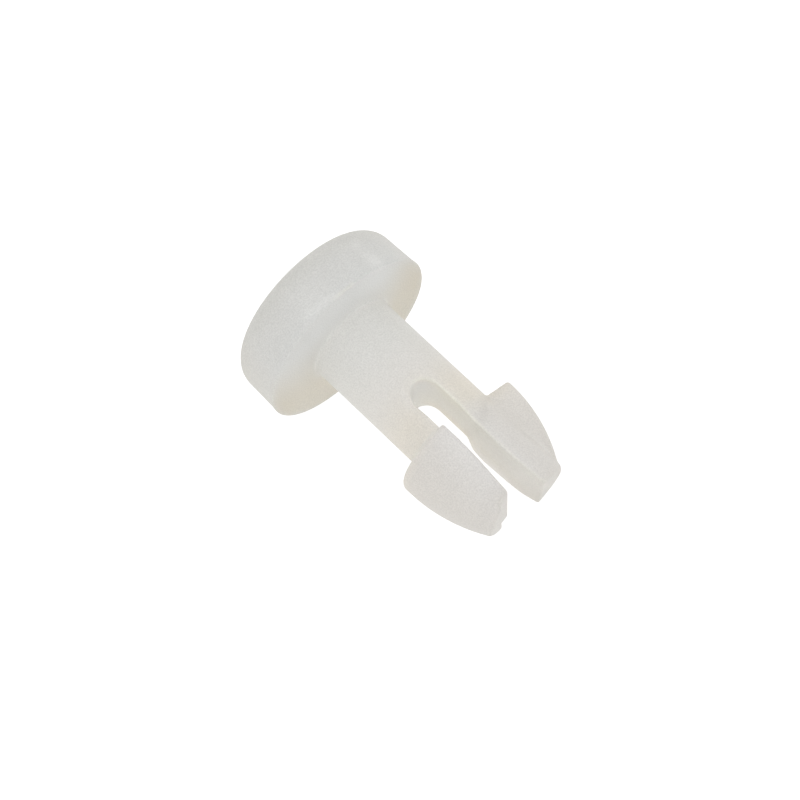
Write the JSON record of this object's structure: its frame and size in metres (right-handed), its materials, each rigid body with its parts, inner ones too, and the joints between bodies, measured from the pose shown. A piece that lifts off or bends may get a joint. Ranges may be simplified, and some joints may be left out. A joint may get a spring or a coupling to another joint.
{
  "type": "wall anchor",
  "caption": "One-piece nylon push-in wall anchor: thick round head, plain shank and a split end whose spring legs carry barbed ogive tips.",
  "frame": {"origin": "centre of the shank on the plane of the head's seating face", "axes": "+Y from the seating face along the shank into the wall; +Z along the direction in which the slot runs through; +X towards the left leg"},
  "size_m": [0.0102, 0.0162, 0.0102],
  "materials": {
    "nylon": "natural milky nylon, semi-matt, slightly translucent"
  },
  "bodies": {
    "anchor": {"head": "nylon", "shank": "nylon"},
    "left_spring_leg": {"left_leg": "nylon", "left_barb": "nylon"},
    "right_spring_leg": {"right_leg": "nylon", "right_barb": "nylon"}
  },
  "joints": [
    {"name": "left_leg_flex", "type": "hinge", "parent": "anchor", "child": "left_spring_leg", "pos_m": [0.0015, 0.006, 0], "axis": [0, 0, 1], "range_deg": [-1.5, 5.5], "stiffness_Nm_per_rad": 0.8},
    {"name": "right_leg_flex", "type": "hinge", "parent": "anchor", "child": "right_spring_leg", "pos_m": [-0.0015, 0.006, 0], "axis": [0, 0, -1], "range_deg": [-1.5, 5.5], "stiffness_Nm_per_rad": 0.8}
  ]
}
